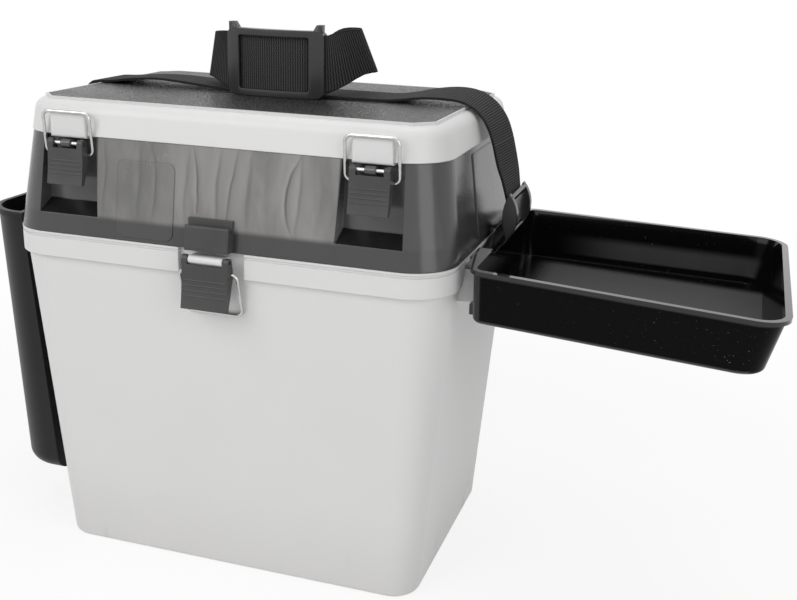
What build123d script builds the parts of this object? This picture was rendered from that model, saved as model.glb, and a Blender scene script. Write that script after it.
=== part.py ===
from build123d import *
import os
from math import asin, atan2, cos, degrees, hypot, radians, sin

# Ice fishing box: a tapered container, a hinged upper tier, a hinged seat lid with a mat,
# three draw latches, a tray and a bin that hang on the sides, and a carrying strap.
# Millimetres. X runs along the front, +Y to the back, +Z up, origin under the container.

# Container
base_width = 317.0
base_depth = 213.0
base_corner = 22.0
base_edge = 5.0
neck_width = 356.0
neck_depth = 245.0
neck_corner = 33.0
neck_height = 258.8
container_wall = 2.8
container_floor = 3.2

# Rim band round the container's mouth
band_height = 19.4
band_reach = 3.7
bead_height = 1.9
groove_height = 2.0
groove_depth = 0.8
latch_gap_width = 54.0
side_gap_length = 146.0
band_end_radius = 13.5

# Upper tier
seam_gap = 0.3
tier_height = 75.0
tier_top_width = 343.5
tier_top_depth = 228.7
tier_corner = 34.7
tier_inset = 0.3
tier_wall = 2.6
tier_floor = 2.6
tier_floor_level = 12.4
spigot_depth = 5.0
spigot_wall = 2.2
spigot_clearance = 1.0
flange_height = 2.4
emboss_x = -56.0
emboss_width = 48.0
emboss_height = 58.0
emboss_corner = 6.0
emboss_proud = 0.7
pilaster_length = 62.0
pilaster_proud = 0.8

# Niches for the upper latches
niche_x = 122.5
niche_bottom_width = 51.4
niche_top_width = 46.0
niche_depth = 6.9
niche_level = 15.0
niche_rise = 8.0

# Lid and its mat
lid_height = 24.4
lid_overhang = 0.8
lid_corner = 35.5
lid_draft = 4.5
lid_edge = 10.0
lid_wall = 2.6
lid_top_wall = 2.8
lid_lip = 1.4
mat_width = 316.7
mat_depth = 199.3
mat_chamfer = 13.0
mat_thickness = 2.0
mat_clearance = 0.4
lug_width = 31.0
lug_height = 17.2
lug_drop = 2.0
lug_reach = 2.0
lug_round = 1.6

# Hinges at the back: moulded knuckles on steel pins
hinge_x = 105.0
hinge_length = 44.0
hinge_centre = 16.0
hinge_radius = 4.5
hinge_stand = 5.6
hinge_arm = 14.0
hinge_pin = 4.0
hinge_crown = 0.9
hinge_lean = 0.4
knuckle_gap = 0.5
running_clearance = 0.05

# Latches: a lever on a pin, and a wire bail that swings in the lever
wire = 2.6
wire_bend = 5.5
eye_bend = 4.4
latch_pin = 3.0
lever_side = 3.0
lever_plate = 2.2
ear_radius = 3.4
knuckle_crown = 0.9
knuckle_lean = 0.6
lever_lip = 7.2
lever_bulge = 0.9
heel_margin = 3.2
rib_count = 4
rib_first = 0.40
rib_last = 0.72
rib_height = 1.1
rib_proud = 0.5
bail_side_gap = 3.6
upper_lever_width = 30.5
upper_lever_drop = 31.0
upper_mouth = 21.0
upper_knuckle = 8.0
upper_pivot_drop = 5.5
upper_pivot_proud = 4.1
upper_hole_back = 3.5
upper_hole_drop = 8.5
bar_clearance = 0.5
bar_rise = 0.6
middle_lever_width = 38.0
middle_lever_drop = 37.0
middle_mouth = 29.0
middle_knuckle = 27.8
middle_pivot_drop = 5.7
middle_pivot_proud = 10.5
middle_hole_back = 1.5
middle_hole_drop = 9.5
middle_bail_side_gap = 3.4
middle_bail_length = 34.3
middle_bail_rest = 0.5

# Catch of the middle latch, riveted to the tier
catch_width = 36.0
catch_depth = 9.0
catch_block = 18.5
catch_height = 22.8
catch_plate = 2.6
catch_lip = 3.0
catch_groove = 4.5
catch_lift = 0.6
rivet_shank = 4.0
rivet_head = 8.0
rivet_head_height = 1.8
rivet_bite = 4.0
rivet_pitch = 20.0
rivet_level = 7.2

# Hook pockets on the container's sides, with the strap bar between each pair
pocket_y = 55.5
pocket_length = 34.0
pocket_end_wall = 2.4
pocket_height = 30.3
pocket_slot_start = 1.6
pocket_slot = 4.6
pocket_plate = 3.0
pocket_floor = 2.5
pocket_foot = 1.0
hook_thickness = 3.0
hook_clearance = 0.6
hook_rest = 0.3
hook_drop = 9.0
strap_bar = 5.0
strap_bar_level = 23.2
strap_bar_stand = 1.3
strap_bar_seat = 2.0

# Side tray on the right
tray_length = 215.4
tray_inner_depth = 206.0
tray_outer_depth = 234.0
tray_height = 42.0
tray_wall = 2.2
tray_draft = 5.0
tray_inner_draft = 1.5
tray_outer_draft = 9.0
tray_inner_corner = 9.0
tray_outer_corner = 20.0
tray_edge = 4.0
tray_rim = 2.6
tray_rim_height = 3.0
tray_flange = 7.0
tray_stand = 11.8
tray_rise = 1.8
tray_tilt = 2.4
notch_width = 98.0
notch_depth = 4.0
notch_slant = 6.0
peg_size = 8.0
peg_y = 84.0
peg_level = 33.0
peg_stub = 3.8

# Side bin on the left
bin_reach = 40.0
bin_width = 172.0
bin_height = 237.0
bin_wall = 2.4
bin_draft = 9.0
bin_back_draft = 15.0
bin_corner = 36.0
bin_edge = 13.0
bin_rim = 2.6
bin_rim_height = 4.5
bin_stand = 12.6

# Carrying strap, its keeper on the lid and its ladder buckle on the right side
strap_width = 44.0
strap_thickness = 1.8
strap_y = 11.0
strap_lift = 0.2
strap_edge_gap = 2.0
strap_loop_clearance = 0.2
strap_split_share = 0.28
strap_bend_share = 0.25
strap_tray_gap = 3.4
strap_dip_rise = 6.0
strap_step = 10.0
strap_lean = 4.4
strap_lean_rise = 19.5
strap_bow_share = 1.1
strap_bow_gap = 5.0
strap_crest = 6.0
strap_crest_length = 45.0
strap_slope_length = 40.0
strap_slope_bend = 80.0
loop_gap = 14.0
loop_right = 66.0
loop_left = 55.0
keeper_x = 6.2
keeper_y = -24.0
keeper_width = 82.5
keeper_bow = 110.0
keeper_thickness = 9.0
keeper_rail = 3.4
keeper_bar = 11.2
keeper_slot = 4.0
keeper_play = 0.6
keeper_corner = 6.0
keeper_inset = 1.8
keeper_horn = 4.6
keeper_horn_width = 8.0
buckle_stand = 16.7
buckle_height = 36.0
buckle_tip = 1.6
buckle_front = 8.6
buckle_back = 3.1
buckle_rail = 5.9
buckle_rod = 1.9
buckle_rod_out = 2.2
buckle_rod_level = 14.6
buckle_plate = 1.8
buckle_plate_height = 21.0
buckle_ribs = 10
buckle_rib_height = 0.9
buckle_rib_proud = 0.8
buckle_back_bar = 5.0
buckle_back_rise = 1.5
buckle_back_thickness = 1.8
buckle_clearance = 0.3

# Levels and sizes that follow
rim_z = neck_height + band_height
band_width = neck_width + 2 * band_reach
band_depth = neck_depth + 2 * band_reach
band_corner = neck_corner + band_reach
tier_z = rim_z + seam_gap
tier_top = tier_z + tier_height
tier_width = band_width - 2 * tier_inset
tier_depth = band_depth - 2 * tier_inset
lid_z = tier_top + seam_gap
lid_top = lid_z + lid_height
lid_width = tier_top_width + 2 * lid_overhang
lid_depth = tier_top_depth + 2 * lid_overhang
mat_top = lid_top + mat_thickness
mat_rim_width = mat_width + 2 * (mat_clearance + lid_lip)
mat_rim_depth = mat_depth + 2 * (mat_clearance + lid_lip)
mouth_width = neck_width - 2 * container_wall
mouth_depth = neck_depth - 2 * container_wall
mouth_corner = neck_corner - container_wall


def blend_value(low, high, share):
    """The value between two ends at a share of the way."""
    return low + (high - low) * share


def side_x(z):
    """Half the container's width at a height."""
    return blend_value(base_width, neck_width, min(z / neck_height, 1.0)) / 2


def container_front(z):
    """The container's front wall's Y at a height."""
    return -blend_value(base_depth, neck_depth, min(z / neck_height, 1.0)) / 2


def tier_front(z):
    """The leaning front wall's Y at a height; the back wall is its mirror."""
    return -blend_value(tier_depth, tier_top_depth, (z - tier_z) / tier_height) / 2


def tier_side(z):
    """Half the tier's width at a height."""
    return blend_value(tier_width, tier_top_width, (z - tier_z) / tier_height) / 2


def rounded(width, depth, corner, z):
    return Pos(0, 0, z) * RectangleRounded(width, depth, corner)


def ring(outer, inner, height):
    """A straight wall between two outlines that lie on the same level."""
    return extrude(outer, height) - extrude(inner, height)


def across(face_lines, width, centre=0.0):
    """A closed outline of (Y, Z) lines as a solid of a width along X."""
    face = Plane.YZ * make_face(face_lines)
    return Pos(centre, 0, 0) * extrude(face, width / 2, both=True)


def along_depth(face_lines, length, centre=0.0):
    """A closed outline of (X, Z) lines as a solid of a length along Y."""
    face = Plane.XZ * make_face(face_lines)
    return Pos(0, centre, 0) * extrude(face, length / 2, both=True)


def polygon(*points):
    return Polyline(*points, close=True)


def rod(radius, length, x, y, z):
    """A round rod along X, centred at a point."""
    return Pos(x, y, z) * Rot(0, 90, 0) * Cylinder(radius, length)


def depth_rod(radius, length, x, y, z):
    """A round rod along Y, centred at a point."""
    return Pos(x, y, z) * Rot(90, 0, 0) * Cylinder(radius, length)


# Hinges
tier_axis = (band_depth / 2 + hinge_stand, rim_z + seam_gap / 2)
lid_axis = (lid_depth / 2 + hinge_stand, tier_top + seam_gap / 2)
side_knuckle = (hinge_length - hinge_centre) / 2 - knuckle_gap
side_knuckle_x = (hinge_length - side_knuckle) / 2


def knuckle(centre, width, axis, wall_high, wall_low):
    """One moulded barrel with the arm that carries it, from two points in its wall."""
    y, z = axis
    lean = hinge_lean if wall_high[1] > z else -hinge_lean
    crown = (y + hinge_radius * hinge_crown, z + hinge_radius * lean)
    arm = polygon(wall_low, (y, z), crown, wall_high)
    body = across(arm, width, centre) + rod(hinge_radius, width, centre, y, z)
    return body - rod(hinge_pin / 2 + running_clearance, width + 1, centre, y, z)


def outer_knuckles(axis, wall_high, wall_low):
    """The pair of barrels that hold the pin's ends, at both hinges."""
    spots = [side * hinge_x + end * side_knuckle_x for side in (-1, 1) for end in (-1, 1)]
    return [knuckle(spot, side_knuckle, axis, wall_high, wall_low) for spot in spots]


def centre_knuckles(axis, wall_high, wall_low):
    return [knuckle(side * hinge_x, hinge_centre, axis, wall_high, wall_low) for side in (-1, 1)]


def hinge_pins(axis):
    return [rod(hinge_pin / 2, hinge_length, side * hinge_x, *axis) for side in (-1, 1)]


# Pivots of the latches, as (Y, Z)
upper_pivot_z = tier_top - upper_pivot_drop
upper_pivot = (tier_front(upper_pivot_z) - upper_pivot_proud, upper_pivot_z)
upper_hole = (upper_pivot[0] + upper_hole_back, upper_pivot[1] - upper_hole_drop)
lug_front = -lid_depth / 2 - lug_reach
upper_bar = (lug_front - wire / 2 - bar_clearance, lid_z + lug_height + bar_rise)
middle_pivot = (-neck_depth / 2 - middle_pivot_proud, rim_z - middle_pivot_drop)
middle_hole = (middle_pivot[0] + middle_hole_back, middle_pivot[1] - middle_hole_drop)
middle_bar_z = middle_hole[1] - middle_bail_length
middle_bar = (container_front(middle_bar_z) - wire / 2 - middle_bail_rest, middle_bar_z)


def latch_knuckle(width, pivot, wall_y, reach_down):
    """The moulded arm that carries a lever's pin."""
    y, z = pivot
    boss = ear_radius * knuckle_crown
    arm = polygon((wall_y, z + ear_radius * knuckle_lean), (y, z + boss), (y, z - boss),
                  (wall_y, z - reach_down))
    body = across(arm, width) + rod(boss, width, 0, y, z)
    return body - rod(latch_pin / 2 + running_clearance, width + 1, 0, y, z)


def lever(width, drop, mouth, pivot, hole):
    """A hollow latch lever: eared at its pin, flared at its finger lip, ribbed across its face."""
    y, z = pivot
    heel = hole[0] - y + heel_margin
    hole_drop = z - hole[1]

    def at(out, up):
        return (y - out, z + up)

    outline = [
        ThreePointArc(at(-ear_radius, 0), at(0, ear_radius), at(ear_radius, 0)),
        ThreePointArc(at(ear_radius, 0), at(ear_radius + lever_bulge, -drop / 2), at(lever_lip, -drop)),
        Line(at(lever_lip, -drop), at(lever_lip - heel_margin, -drop)),
        Line(at(lever_lip - heel_margin, -drop), at(-heel, -hole_drop - heel_margin)),
        Line(at(-heel, -hole_drop - heel_margin), at(-heel, -hole_drop + heel_margin)),
        Line(at(-heel, -hole_drop + heel_margin), at(-ear_radius, 0)),
    ]
    inner_face = ear_radius - lever_plate
    inner_end = -drop + 2 * lever_plate
    inner_lip = lever_lip - lever_plate - lever_bulge
    hollow = [
        Line(at(inner_face, 2 * ear_radius), at(inner_face, 0)),
        ThreePointArc(at(inner_face, 0), at(inner_face + lever_bulge, -drop / 2), at(inner_lip, inner_end)),
        Line(at(inner_lip, inner_end), at(-2 * heel, inner_end)),
        Line(at(-2 * heel, inner_end), at(-2 * heel, 2 * ear_radius)),
        Line(at(-2 * heel, 2 * ear_radius), at(inner_face, 2 * ear_radius)),
    ]
    window_bottom = -ear_radius - running_clearance
    window = polygon(at(-2 * heel, window_bottom), at(2 * lever_lip, window_bottom),
                     at(2 * lever_lip, 2 * ear_radius), at(-2 * heel, 2 * ear_radius))
    body = across(outline, width) - across(hollow, width - 2 * lever_side) - across(window, mouth)
    for number in range(rib_count):
        share = blend_value(rib_first, rib_last, number / (rib_count - 1))
        swell = lever_bulge * 4 * share * (1 - share)
        face = ear_radius + swell + (lever_lip - ear_radius) * share * (2 * share - 1)
        top = -drop * share
        rib = polygon(at(face - lever_plate / 2, top - rib_height), at(face - lever_plate / 2, top),
                      at(face, top), at(face + rib_proud, top - rib_height / 2), at(face, top - rib_height))
        body += across(rib, width - lever_side)
    body -= rod(latch_pin / 2 + running_clearance, width + 1, 0, y, z)
    return body - rod(wire / 2 + running_clearance, width + 1, 0, *hole)


def bail(half_width, end, hole, bar):
    """A bent wire: two arms, a bar, and ends turned in to the lever's holes."""
    path = FilletPolyline((-end, *hole), (-half_width, *hole), (-half_width, *bar),
                          (half_width, *bar), (half_width, *hole), (end, *hole),
                          radius=(eye_bend, wire_bend, wire_bend, eye_bend))
    return sweep(Plane(path @ 0, z_dir=path % 0) * Circle(wire / 2), path=path)


def latch_rod(width, pivot):
    return rod(latch_pin / 2, width - lever_side, 0, *pivot)


# Container with its band, hook pockets, latch knuckle and hinge barrels
pocket_top = rim_z - bead_height
pocket_bottom = pocket_top - pocket_height
slot_start = band_width / 2 + pocket_slot_start
slot_end = slot_start + pocket_slot
pocket_face = slot_end + pocket_plate
bar_x = band_width / 2 + strap_bar_stand
bar_z = rim_z - strap_bar_level


def hook_pocket(side, y):
    """A block on a side wall with an upright slot for a hook."""
    wall_x = side_x(pocket_bottom - pocket_foot) - container_wall / 2
    block = polygon((side * wall_x, pocket_bottom - pocket_foot), (side * pocket_face, pocket_bottom),
                    (side * pocket_face, pocket_top), (side * (neck_width - container_wall) / 2, pocket_top))
    floor_z = pocket_bottom + pocket_floor
    slot = polygon((side * slot_start, floor_z), (side * slot_end, floor_z),
                   (side * slot_end, pocket_top + 1), (side * slot_start, pocket_top + 1))
    body = along_depth(block, pocket_length, y)
    return body - along_depth(slot, pocket_length - 2 * pocket_end_wall, y)


def side_gap(side):
    """The band's gap at a side: the band's ends beside it are rounded below."""
    height = band_height - bead_height - groove_height
    bend = min(band_end_radius, 0.9 * height)
    shift = bend * (1 - sin(radians(45)))
    half = side_gap_length / 2
    low = neck_height
    top = neck_height + height
    outline = [
        Line((-half - bend, low), (half + bend, low)),
        ThreePointArc((half + bend, low), (half + shift, low + shift), (half, low + bend)),
        Line((half, low + bend), (half, top)),
        Line((half, top), (-half, top)),
        Line((-half, top), (-half, low + bend)),
        ThreePointArc((-half, low + bend), (-half - shift, low + shift), (-half - bend, low)),
    ]
    return across(outline, 2 * band_reach, side * (neck_width / 2 + band_reach))


def make_container():
    shell = loft([rounded(base_width, base_depth, base_corner, 0),
                  rounded(neck_width, neck_depth, neck_corner, neck_height)], ruled=True)
    shell = fillet(shell.faces().sort_by(Axis.Z)[0].edges(), base_edge)
    shell += extrude(rounded(band_width, band_depth, band_corner, neck_height), band_height)
    groove_z = rim_z - bead_height - groove_height
    shell -= ring(rounded(band_width + 1, band_depth + 1, band_corner, groove_z),
                  rounded(band_width - 2 * groove_depth, band_depth - 2 * groove_depth,
                          band_corner - groove_depth, groove_z), groove_height)
    gap_y = -neck_depth / 2 - band_reach
    shell -= Pos(0, gap_y, rim_z) * Box(latch_gap_width, 2 * band_reach, 2 * band_height)
    for side in (-1, 1):
        shell -= side_gap(side)
        for y in (-pocket_y, pocket_y):
            shell += hook_pocket(side, y)
    inset = 2 * container_wall
    start = container_floor / neck_height
    cavity = loft([
        rounded(blend_value(base_width, neck_width, start) - inset,
                blend_value(base_depth, neck_depth, start) - inset,
                base_corner - container_wall, container_floor),
        rounded(mouth_width, mouth_depth, mouth_corner, neck_height)], ruled=True)
    cavity += extrude(rounded(mouth_width, mouth_depth, mouth_corner, neck_height), band_height)
    shell -= cavity
    for side in (-1, 1):
        shell -= depth_rod(strap_bar / 2 + running_clearance, bar_length, side * bar_x, 0, bar_z)
    shell += latch_knuckle(middle_knuckle, middle_pivot, -neck_depth / 2 + container_wall / 2, hinge_arm)
    wall_y = band_depth / 2 - band_reach / 2
    for barrel in outer_knuckles(tier_axis, (wall_y, tier_axis[1] - hinge_arm), (wall_y, rim_z - seam_gap)):
        shell += barrel
    return shell


bar_length = 2 * (pocket_y - pocket_length / 2 + strap_bar_seat)


def strap_bars():
    return [depth_rod(strap_bar / 2, bar_length, side * bar_x, 0, bar_z) for side in (-1, 1)]


# Upper tier
niche_back = -tier_top_depth / 2 + niche_depth
wall_lean = degrees(atan2((tier_depth - tier_top_depth) / 2, tier_height))
front_normal = (0, -cos(radians(wall_lean)), sin(radians(wall_lean)))


def front_plane(x, z):
    """A plane on the tier's front wall, facing out."""
    return Plane((x, tier_front(z), z), x_dir=(1, 0, 0), z_dir=front_normal)


def niche(side, grow):
    """The recess for one upper latch, or the block round it when grown by the wall."""
    front = -tier_depth
    floor_z = tier_z + niche_level - grow
    top = tier_top + 1
    profile = polygon((front, floor_z), (tier_front(tier_z + niche_level), floor_z),
                      (niche_back + grow, floor_z + niche_rise), (niche_back + grow, top), (front, top))
    low = niche_bottom_width / 2 + grow
    high = niche_top_width / 2 + grow
    shape = polygon((-low, floor_z), (low, floor_z), (high, top), (-high, top))
    return Pos(side * niche_x, 0, 0) * (across(profile, 4 * low) & along_depth(shape, 2 * tier_depth))


def make_tier():
    outer = loft([rounded(tier_width, tier_depth, band_corner, tier_z),
                  rounded(tier_top_width, tier_top_depth, tier_corner, tier_top)], ruled=True)
    inset = 2 * tier_wall

    def inside(z):
        share = (z - tier_z) / tier_height
        corner = blend_value(band_corner, tier_corner, share) - tier_wall
        return rounded(2 * tier_side(z) - inset, -2 * tier_front(z) - inset, corner, z)

    floor_z = tier_z + tier_floor_level
    body = outer - loft([inside(floor_z + tier_floor), inside(tier_top)], ruled=True)
    body -= loft([inside(tier_z), inside(floor_z)], ruled=True)
    lip_width = mouth_width - 2 * spigot_clearance
    lip_depth = mouth_depth - 2 * spigot_clearance
    lip_corner = mouth_corner - spigot_clearance
    lip_z = tier_z - spigot_depth
    lip_inside = rounded(lip_width - 2 * spigot_wall, lip_depth - 2 * spigot_wall,
                         lip_corner - spigot_wall, lip_z)
    body += ring(rounded(tier_width, tier_depth, band_corner, tier_z), Pos(0, 0, spigot_depth) * lip_inside,
                 flange_height) & outer
    body += ring(rounded(lip_width, lip_depth, lip_corner, lip_z), lip_inside,
                 spigot_depth + flange_height / 2)
    for side in (-1, 1):
        body += niche(side, tier_wall) & outer
        body -= niche(side, 0)
        rail_z = tier_z + tier_height / 2
        pad = Plane((side * tier_side(rail_z), 0, rail_z), x_dir=(0, 1, 0),
                    z_dir=(side * tier_height, 0, (tier_width - tier_top_width) / 2))
        pad_height = hypot(tier_height, (tier_width - tier_top_width) / 2) - 4 * flange_height
        body += extrude(pad * RectangleRounded(pilaster_length, pad_height, flange_height), pilaster_proud)
        arm = latch_knuckle(upper_knuckle, upper_pivot, niche_back + tier_wall / 2, hinge_arm)
        body += Pos(side * niche_x, 0, 0) * arm
    emboss = front_plane(emboss_x, tier_z + flange_height + emboss_height / 2)
    body += extrude(emboss * RectangleRounded(emboss_width, emboss_height, emboss_corner), emboss_proud)
    low_high = (-tier_front(tier_axis[1] + hinge_arm) - tier_wall / 2, tier_axis[1] + hinge_arm)
    for barrel in centre_knuckles(tier_axis, low_high, (tier_depth / 2 - tier_wall / 2, tier_z + seam_gap)):
        body += barrel
    high_low = (-tier_front(lid_axis[1] - hinge_arm) - tier_wall / 2, lid_axis[1] - hinge_arm)
    high_end = (tier_top_depth / 2 - tier_wall / 2, tier_top - seam_gap)
    for barrel in outer_knuckles(lid_axis, high_low, high_end):
        body += barrel
    for rivet in catch_rivets(running_clearance):
        body -= rivet
    return body


# Catch on the tier's front
catch_z = tier_z + catch_lift


def make_catch():
    block_top = catch_z + catch_block
    groove_z = block_top - catch_groove
    top = catch_z + catch_height
    face = tier_front(block_top) - catch_depth
    outline = polygon(
        (tier_front(catch_z), catch_z), (tier_front(catch_z) - catch_depth, catch_z), (face, block_top),
        (face + catch_lip, block_top), (face + catch_lip, groove_z),
        (tier_front(groove_z) - catch_plate, groove_z), (tier_front(top) - catch_plate, top),
        (tier_front(top), top))
    body = across(outline, catch_width)
    front = body.faces().filter_by(lambda f: f.center().Y < face + catch_lip / 2).sort_by(SortBy.AREA)[-1]
    body = fillet(front.edges(), catch_lip / 2.2)
    for rivet in catch_rivets(running_clearance):
        body -= rivet
    return body


def catch_rivets(grow=0.0):
    """Two rivets square to the wall: heads inside the tier, shanks in the catch."""
    solids = []
    for side in (-1, 1):
        place = front_plane(side * rivet_pitch / 2, tier_z + rivet_level)
        length = tier_wall + rivet_bite + grow
        shank = place * Pos(0, 0, rivet_bite + grow - length / 2) * Cylinder(rivet_shank / 2 + grow, length)
        if grow:
            solids.append(shank)
            continue
        head_place = place * Pos(0, 0, -tier_wall - rivet_head_height / 2)
        solids.append(shank + head_place * Cylinder(rivet_head / 2, rivet_head_height))
    return solids


# Lid
def lid_outline(inset, z):
    """The lid's plan at a height, or the plan that far inside it: the sides lean in as they rise."""
    lean = lid_draft * (z - lid_z) / lid_height
    shrink = 2 * (lean + inset)
    return rounded(lid_width - shrink, lid_depth - shrink, lid_corner - lean - inset, z)


def lid_block(inset, top):
    """The lid's outer form, or the hollow a wall inside it."""
    block = loft([lid_outline(inset, lid_z), lid_outline(inset, top)], ruled=True)
    return fillet(block.faces().sort_by(Axis.Z)[-1].edges(), lid_edge - inset)


def lid_back(z):
    """The Y in the middle of the lid's leaning back wall at a height."""
    return (lid_depth - lid_wall) / 2 - lid_draft * (z - lid_z) / lid_height


def make_lid():
    body = lid_block(0, lid_top) - lid_block(lid_wall, lid_top - lid_top_wall)
    lip_width = tier_top_width - 2 * (tier_wall + spigot_clearance)
    lip_depth = tier_top_depth - 2 * (tier_wall + spigot_clearance)
    lip_corner = tier_corner - tier_wall - spigot_clearance
    shelf_depth = -2 * (niche_back + tier_wall)
    body += ring(rounded(lid_width - lid_wall, lid_depth - lid_wall, lid_corner - lid_wall / 2, lid_z),
                 rounded(lip_width - 2 * spigot_wall, shelf_depth, lip_corner - spigot_wall, lid_z),
                 flange_height)
    lip_z = lid_z - spigot_depth
    lip = ring(rounded(lip_width, lip_depth, lip_corner, lip_z),
               rounded(lip_width - 2 * spigot_wall, lip_depth - 2 * spigot_wall,
                       lip_corner - spigot_wall, lip_z), spigot_depth + flange_height / 2)
    relief = niche_bottom_width + 2 * (tier_wall + spigot_clearance)
    for side in (-1, 1):
        lip -= Pos(side * niche_x, -lip_depth / 2, lip_z) * Box(relief, lip_depth / 2, 2 * spigot_depth)
    body += lip
    body += ring(mat_outline(mat_rim_width, mat_rim_depth, lid_top - lid_lip),
                 mat_outline(mat_rim_width - 2 * lid_lip, mat_rim_depth - 2 * lid_lip, lid_top - lid_lip),
                 mat_thickness + lid_lip)
    high = lid_axis[1] + hinge_arm
    low = lid_z + seam_gap
    for barrel in centre_knuckles(lid_axis, (lid_back(high), high), (lid_back(low), low)):
        body += barrel
    return body


def lid_lugs():
    """The two blocks on the lid's front that the upper bails draw down."""
    depth = lug_reach + lid_draft + lid_wall / 2
    height = lug_height + lug_drop
    block = Pos(0, lug_front + depth / 2, lid_z - lug_drop + height / 2) * Box(lug_width, depth, height)
    block = fillet(block.faces().sort_by(Axis.Y)[0].edges(), lug_round)
    return [Pos(side * niche_x, 0, 0) * block - lid_block(0, lid_top) for side in (-1, 1)]


def mat_outline(width, depth, z):
    outline = Rectangle(width, depth)
    return Pos(0, 0, z) * chamfer(outline.vertices(), mat_chamfer)


def make_mat():
    return extrude(mat_outline(mat_width, mat_depth, lid_top), mat_thickness)


# Things that hang in the pockets
hook_floor = pocket_top + hook_rest
hook_width = pocket_length - 2 * pocket_end_wall - 2 * hook_clearance
tongue_start = slot_start + (pocket_slot - hook_thickness) / 2


def hooks(side, wall_x):
    """Two hooks that reach from a hanging part over the pocket's plate and down its slot."""
    tongue_end = tongue_start + hook_thickness
    top = hook_floor + hook_thickness
    outline = polygon(
        (side * tongue_start, hook_floor - hook_drop), (side * tongue_end, hook_floor - hook_drop),
        (side * tongue_end, hook_floor), (side * wall_x, hook_floor), (side * wall_x, top),
        (side * tongue_start, top))
    return [along_depth(outline, hook_width, y) for y in (-pocket_y, pocket_y)]


def strap_notch(side, wall_x, rim_top):
    """The shallow dip in a hanging part's inner rim that lets the strap through."""
    low = notch_width / 2 - notch_slant
    high = notch_width / 2 + notch_slant
    outline = polygon((-low, rim_top - notch_depth), (low, rim_top - notch_depth),
                      (high, rim_top + notch_depth), (-high, rim_top + notch_depth))
    return across(outline, 2 * (wall_x - tongue_start), side * wall_x)


# Tray
tray_x = band_width / 2 + tray_stand
tray_z = rim_z + tray_rise
tray_place = Location((tray_x, 0, tray_z), (0, tray_tilt, 0))


def tray_outline(grow, drafted, z):
    """The tray's plan: wider at its outer end, with larger outer corners."""
    start = -grow + drafted * tray_inner_draft
    end = tray_length + grow - drafted * tray_outer_draft
    near = tray_inner_depth / 2 + grow - drafted * tray_draft
    far = tray_outer_depth / 2 + grow - drafted * tray_draft
    face = make_face(Polyline((start, -near), (end, -far), (end, far), (start, near), close=True))
    face = fillet(face.vertices().group_by(Axis.X)[0], tray_inner_corner + grow)
    face = fillet(face.vertices().group_by(Axis.X)[-1], tray_outer_corner + grow)
    return Pos(0, 0, z) * face


def make_tray():
    outer = loft([tray_outline(0, 1, -tray_height), tray_outline(0, 0, 0)], ruled=True)
    outer = fillet(outer.faces().sort_by(Axis.Z)[0].edges(), tray_edge)
    cavity = loft([tray_outline(-tray_wall, 1, tray_wall - tray_height),
                   tray_outline(-tray_wall, 0, 0)], ruled=True)
    rim = extrude(tray_outline(tray_rim, 0, -tray_rim_height), tray_rim_height)
    flange_depth = tray_inner_depth - 2 * tray_inner_corner
    rim += Pos(-tray_flange / 2, 0, -tray_rim_height / 2) * Box(tray_flange, flange_depth, tray_rim_height)
    body = tray_place * ((outer + rim) - cavity)
    body -= strap_notch(1, tray_x + tray_wall, tray_z)
    for hook in hooks(1, tray_x + tray_wall / 2):
        body += hook
    peg_length = peg_stub + tray_wall / 2
    for y in (-peg_y, peg_y):
        peg_place = Pos(tray_x - peg_stub + peg_length / 2, y, rim_z - peg_level)
        body += peg_place * Box(peg_length, peg_size, peg_size)
    return body


# Bin
bin_x = band_width / 2 + bin_stand
bin_top = rim_z + tray_rise
bin_bend = min(bin_corner, bin_reach - 2 * bin_wall)


def bin_outline(grow, drafted, z):
    """The bin's plan: flat at the back, rounded into a D at the outer side."""
    back = -bin_x + bin_back_draft * drafted + grow
    outer = -bin_x - bin_reach + bin_draft * drafted - grow
    half = bin_width / 2 - bin_draft * drafted / 2 + grow
    face = make_face(Polyline((outer, -half), (back, -half), (back, half), (outer, half), close=True))
    face = fillet(face.vertices().group_by(Axis.X)[0], bin_bend + grow)
    return Pos(0, 0, z) * face


def round_foot(body, radius):
    """Rounds the bottom edge, but not along the flat back."""
    edges = body.faces().sort_by(Axis.Z)[0].edges().sort_by(Axis.X)[:-1]
    return fillet(edges, radius)


def make_bin():
    outer = loft([bin_outline(0, 1, bin_top - bin_height), bin_outline(0, 0, bin_top)], ruled=True)
    outer = round_foot(outer, bin_edge)
    cavity = loft([bin_outline(-bin_wall, 1, bin_top - bin_height + bin_wall),
                   bin_outline(-bin_wall, 0, bin_top)], ruled=True)
    cavity = round_foot(cavity, bin_edge - bin_wall)
    rim = extrude(bin_outline(bin_rim, 0, bin_top - bin_rim_height), bin_rim_height)
    rim = fillet(rim.faces().sort_by(Axis.Z)[-1].outer_wire().edges(), bin_rim / 2)
    body = (outer + rim) - cavity - strap_notch(-1, bin_x + bin_wall, bin_top)
    for hook in hooks(-1, bin_x + bin_wall / 2):
        body += hook
    return body


# Strap
strap_top_z = mat_top + strap_lift + strap_thickness / 2
edge_bend = lid_edge + strap_edge_gap + strap_thickness / 2
strap_side = max(lid_width / 2 + strap_edge_gap + strap_thickness / 2, mat_rim_width / 2 + edge_bend)
lower_split = tier_z + tier_height * strap_split_share
upper_split = tier_top
loop_radius = strap_bar / 2 + strap_loop_clearance + strap_thickness / 2
anchor_x = bar_x + loop_radius
buckle_x = band_width / 2 + buckle_stand


def webbing(path, y=strap_y):
    """A flat ribbon along a path of (X, Z) points, its width along Y."""
    section = Plane(path @ 0, x_dir=(0, 1, 0), z_dir=path % 0) * Rectangle(strap_width, strap_thickness)
    return Pos(0, y, 0) * sweep(section, path=path)


def ribbon(side, points, bends):
    spots = [(side * x, 0, z) for x, z in points]
    line = FilletPolyline(*spots, radius=bends) if len(spots) > 2 else Line(*spots)
    return webbing(line)


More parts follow.
